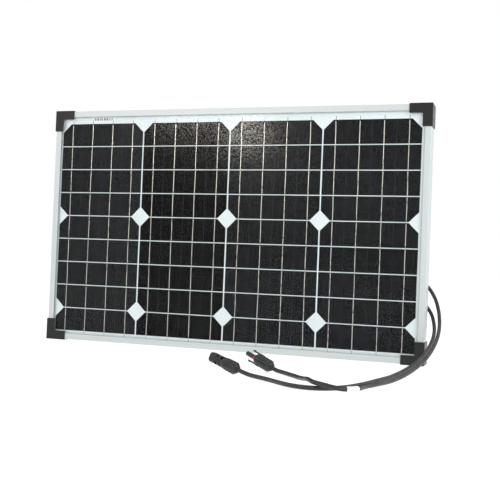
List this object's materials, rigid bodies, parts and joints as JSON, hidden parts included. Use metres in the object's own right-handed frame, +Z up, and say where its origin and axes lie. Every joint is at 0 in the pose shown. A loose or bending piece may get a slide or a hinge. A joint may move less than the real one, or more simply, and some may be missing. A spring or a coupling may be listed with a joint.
{
  "type": "solar panel",
  "caption": "Framed photovoltaic module with cut-cell strings under glass, black corner caps, a rear junction box with a hinged lid, and leads that end in a socket and a latching plug.",
  "frame": {"origin": "on the ground, below the middle of the module's width and thickness", "axes": "+Z up, glass faces -Y, +X to the right for someone who faces the glass"},
  "size_m": [0.687, 0.4026, 0.4036],
  "materials": {
    "frame_aluminium": "clear anodised, satin",
    "key_alloy": "as cast",
    "cap_plastic": "matte black",
    "edge_silicone": "matte",
    "front_glass": "lightly textured tempered glass",
    "encapsulant": "clear film",
    "backsheet_white": "satin white film",
    "solar_cells": "near-black silicon with a faint sheen",
    "tinned_ribbon": "tinned copper, satin",
    "label_film": "satin film",
    "box_plastic": "matte black",
    "gasket_rubber": "matte",
    "terminal_brass": "satin",
    "diode_plastic": "satin",
    "lead_jacket": "satin black",
    "marker_white": "satin white",
    "connector_plastic": "satin charcoal",
    "contact_tin": "tinned",
    "seal_red": "satin red"
  },
  "bodies": {
    "panel": {"frame_rail_bottom": "frame_aluminium", "frame_rail_top": "frame_aluminium", "frame_rail_left": "frame_aluminium", "frame_rail_right": "frame_aluminium", "corner_key_bottom_left": "key_alloy", "corner_key_bottom_right": "key_alloy", "corner_key_top_right": "key_alloy", "corner_key_top_left": "key_alloy", "corner_cap_bottom_left": "cap_plastic", "corner_cap_bottom_right": "cap_plastic", "corner_cap_top_right": "cap_plastic", "corner_cap_top_left": "cap_plastic", "edge_seal": "edge_silicone", "front_glass": "front_glass", "encapsulant_front": "encapsulant", "encapsulant_rear": "encapsulant", "backsheet": "backsheet_white", "cell_string_1": "solar_cells", "cell_string_2": "solar_cells", "cell_string_3": "solar_cells", "cell_string_4": "solar_cells", "bus_ribbon_top_left": "tinned_ribbon", "bus_ribbon_top_middle": "tinned_ribbon", "bus_ribbon_top_right": "tinned_ribbon", "bus_ribbon_bottom_left": "tinned_ribbon", "bus_ribbon_bottom_right": "tinned_ribbon", "bus_cover_strip": "backsheet_white", "serial_label": "label_film", "rear_label": "label_film", "lead_out_strap_positive": "tinned_ribbon", "lead_out_strap_middle": "tinned_ribbon", "lead_out_strap_negative": "tinned_ribbon", "junction_box_adhesive": "edge_silicone", "junction_box_base": "box_plastic", "junction_box_gasket": "gasket_rubber", "terminal_positive": "terminal_brass", "terminal_middle": "terminal_brass", "terminal_negative": "terminal_brass", "bypass_diode_left": "diode_plastic", "bypass_diode_right": "diode_plastic", "gland_nut_positive": "box_plastic", "gland_nut_negative": "box_plastic", "gland_seal_positive": "gasket_rubber", "gland_seal_negative": "gasket_rubber", "lead_core_positive": "lead_jacket", "lead_core_negative": "lead_jacket", "lead_positive": "lead_jacket", "lead_negative": "lead_jacket", "lead_marker_sleeve": "marker_white", "socket_nut": "connector_plastic", "socket_housing": "connector_plastic", "socket_contact": "contact_tin", "plug_nut": "connector_plastic", "plug_housing": "connector_plastic", "plug_pin": "contact_tin", "plug_seal_ring": "seal_red"},
    "junction_box_lid": {"junction_box_lid": "box_plastic"},
    "latch_left": {"plug_latch_arm_left": "connector_plastic"},
    "latch_right": {"plug_latch_arm_right": "connector_plastic"}
  },
  "joints": [
    {"name": "junction_box_lid_hinge", "type": "hinge", "parent": "panel", "child": "junction_box_lid", "pos_m": [0, 0.0085, 0.375], "axis": [1, 0, 0], "range_deg": [0, 105]},
    {"name": "latch_left_flex", "type": "hinge", "parent": "panel", "child": "latch_left", "pos_m": [0.14258, -0.23185, 0.02077], "axis": [-0.3233, -0.8758, 0.3582], "range_deg": [0, 5], "stiffness_Nm_per_rad": 0.2},
    {"name": "latch_right_flex", "type": "hinge", "parent": "panel", "child": "latch_right", "pos_m": [0.13633, -0.23505, 0.00729], "axis": [0.3233, 0.8758, -0.3582], "range_deg": [0, 5], "stiffness_Nm_per_rad": 0.2}
  ]
}
